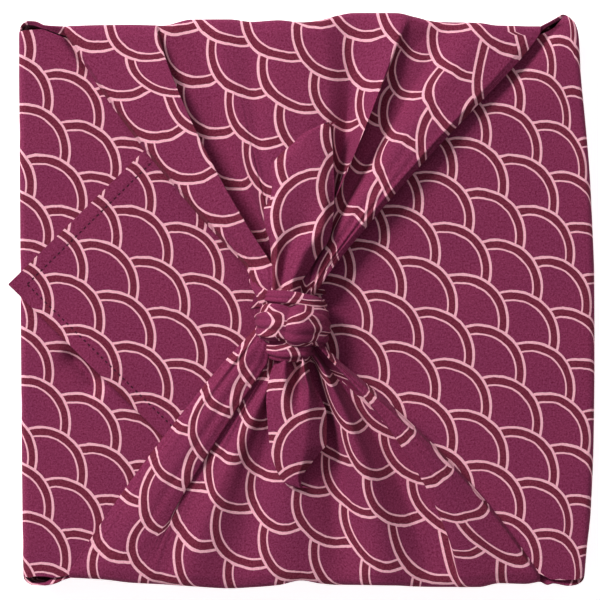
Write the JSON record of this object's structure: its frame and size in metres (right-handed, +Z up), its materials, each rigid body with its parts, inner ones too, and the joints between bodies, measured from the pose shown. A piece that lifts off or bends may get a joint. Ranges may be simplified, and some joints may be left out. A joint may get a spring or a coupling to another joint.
{
  "type": "furoshiki wrap",
  "caption": "Square patterned cotton wrapping cloth folded round a flat square parcel and tied on top in a square knot with short tails; hollow inside.",
  "frame": {"origin": "middle of the footprint, on the flat underside that it rests on", "axes": "+Z up out of the tied top, +Y along the row from one tail of the knot to the other towards the longer tail, +X towards the plain side away from the flap's tip"},
  "size_m": [0.3104, 0.3026, 0.0708],
  "materials": {
    "plum_cotton": "matte woven"
  },
  "bodies": {
    "root": {"wrap_cloth": "plum_cotton"}
  },
  "joints": []
}
